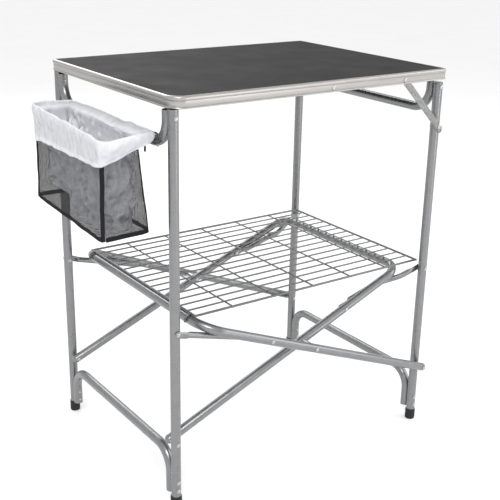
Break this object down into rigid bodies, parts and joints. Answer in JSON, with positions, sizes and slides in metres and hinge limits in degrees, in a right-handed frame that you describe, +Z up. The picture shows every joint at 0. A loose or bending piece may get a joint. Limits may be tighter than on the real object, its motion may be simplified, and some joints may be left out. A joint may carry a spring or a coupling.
{
  "type": "folding camp kitchen table",
  "caption": "Folding side table on two tube frames joined by crossing U frames, with a hinged top, stays, wire rack and a hanging mesh waste bag.",
  "frame": {"origin": "on the floor under the middle of the part's box, which is 58 mm left of the centre of the table top because the bag hangs on the left", "axes": "+Z up, +X towards the right end of the table (the hinge side), +Y towards the back"},
  "size_m": [0.7616, 0.5186, 0.8],
  "materials": {
    "laminate": "fine matte laminate",
    "edge_aluminium": "satin anodised extrusion",
    "coated_tube": "silver-grey powder coat, satin",
    "zinc_plate": "galvanised, mottled",
    "rivet": "bright plated",
    "rack_wire": "plated wire",
    "rubber_foot": "matte black",
    "black_plastic": "matte black",
    "bag_mesh": "black net cloth with tape binding",
    "bag_film": "thin white film"
  },
  "bodies": {
    "left_frame": {"left_front_leg": "coated_tube", "left_front_foot": "rubber_foot", "left_front_arm_rivet": "rivet", "left_front_link_rivet": "rivet", "left_front_upper_brace_rivet": "rivet", "left_front_lower_brace_rivet_1": "rivet", "left_front_lower_brace_rivet_2": "rivet", "left_rear_leg": "coated_tube", "left_rear_foot": "rubber_foot", "left_rear_arm_rivet": "rivet", "left_rear_link_rivet": "rivet", "left_rear_upper_brace_rivet": "rivet", "left_rear_lower_brace_rivet_1": "rivet", "left_rear_lower_brace_rivet_2": "rivet", "left_upper_brace": "coated_tube", "left_lower_brace": "coated_tube"},
    "right_frame": {"right_front_leg": "coated_tube", "right_front_foot": "rubber_foot", "right_front_arm_rivet": "rivet", "right_front_link_rivet": "rivet", "right_front_upper_brace_rivet": "rivet", "right_front_lower_brace_rivet_1": "rivet", "right_front_lower_brace_rivet_2": "rivet", "right_rear_leg": "coated_tube", "right_rear_foot": "rubber_foot", "right_rear_arm_rivet": "rivet", "right_rear_link_rivet": "rivet", "right_rear_upper_brace_rivet": "rivet", "right_rear_lower_brace_rivet_1": "rivet", "right_rear_lower_brace_rivet_2": "rivet", "right_upper_brace": "coated_tube", "right_lower_brace": "coated_tube", "front_hinge_cap": "zinc_plate", "front_strut_stud": "rivet", "rear_hinge_cap": "zinc_plate", "rear_strut_stud": "rivet"},
    "inner_cross": {"inner_cross_frame": "coated_tube", "front_cross_rivet": "rivet", "rear_cross_rivet": "rivet"},
    "outer_cross": {"outer_cross_frame": "coated_tube"},
    "left_links": {"left_front_link": "coated_tube", "left_rear_link": "coated_tube"},
    "right_links": {"right_front_link": "coated_tube", "right_rear_link": "coated_tube"},
    "rack": {"wire_rack": "rack_wire"},
    "table_top": {"table_panel": "laminate", "edge_trim": "edge_aluminium", "trim_joint_rivet": "rivet", "front_hinge_bracket": "zinc_plate", "front_hinge_pin": "rivet", "front_strut_rivet": "rivet", "rear_hinge_bracket": "zinc_plate", "rear_hinge_pin": "rivet", "rear_strut_rivet": "rivet"},
    "front_stay": {"front_strut": "zinc_plate"},
    "rear_stay": {"rear_strut": "zinc_plate"},
    "waste_bag": {"bag_net": "bag_mesh", "bag_liner": "bag_film", "bag_hook_front": "black_plastic", "bag_hook_rear": "black_plastic"}
  },
  "joints": [
    {"name": "frame_fold", "type": "hinge", "parent": "left_frame", "child": "inner_cross", "pos_m": [-0.254, 0, 0.138], "axis": [0, -1, 0], "range_deg": [0, 38]},
    {"name": "cross_pivot", "type": "hinge", "parent": "inner_cross", "child": "outer_cross", "pos_m": [0.058, 0, 0.26519], "axis": [0, 1, 0], "range_deg": [0, 76]},
    {"name": "right_leg_pivot", "type": "hinge", "parent": "outer_cross", "child": "right_frame", "pos_m": [0.37, 0, 0.138], "axis": [0, -1, 0], "range_deg": [0, 38]},
    {"name": "left_link_swing", "type": "hinge", "parent": "left_frame", "child": "left_links", "pos_m": [-0.254, 0, 0.368], "axis": [0, -1, 0], "range_deg": [0, 73]},
    {"name": "right_link_swing", "type": "hinge", "parent": "right_frame", "child": "right_links", "pos_m": [0.37, 0, 0.368], "axis": [0, 1, 0], "range_deg": [0, 73]},
    {"name": "rack_level", "type": "hinge", "parent": "outer_cross", "child": "rack", "pos_m": [-0.204, 0, 0.372], "axis": [0, -1, 0], "range_deg": [0, 38]},
    {"name": "top_lift", "type": "hinge", "parent": "right_frame", "child": "table_top", "pos_m": [0.37, 0, 0.781], "axis": [0, 1, 0], "range_deg": [0, 90]},
    {"name": "front_stay_swing", "type": "hinge", "parent": "table_top", "child": "front_stay", "pos_m": [0.264, -0.2374, 0.7855], "axis": [0, 1, 0], "range_deg": [0, 134]},
    {"name": "rear_stay_swing", "type": "hinge", "parent": "table_top", "child": "rear_stay", "pos_m": [0.264, 0.2374, 0.7855], "axis": [0, 1, 0], "range_deg": [0, 134]},
    {"name": "bag_swing", "type": "hinge", "parent": "left_frame", "child": "waste_bag", "pos_m": [-0.254, 0, 0.712], "axis": [0, 1, 0], "range_deg": [0, 14]}
  ],
  "couplings": [
    {"joint": "cross_pivot", "follows": "frame_fold", "ratio": 2},
    {"joint": "right_leg_pivot", "follows": "frame_fold", "ratio": 1},
    {"joint": "left_link_swing", "follows": "frame_fold", "ratio": 1.92},
    {"joint": "right_link_swing", "follows": "frame_fold", "ratio": 1.92},
    {"joint": "rack_level", "follows": "frame_fold", "ratio": 1}
  ]
}
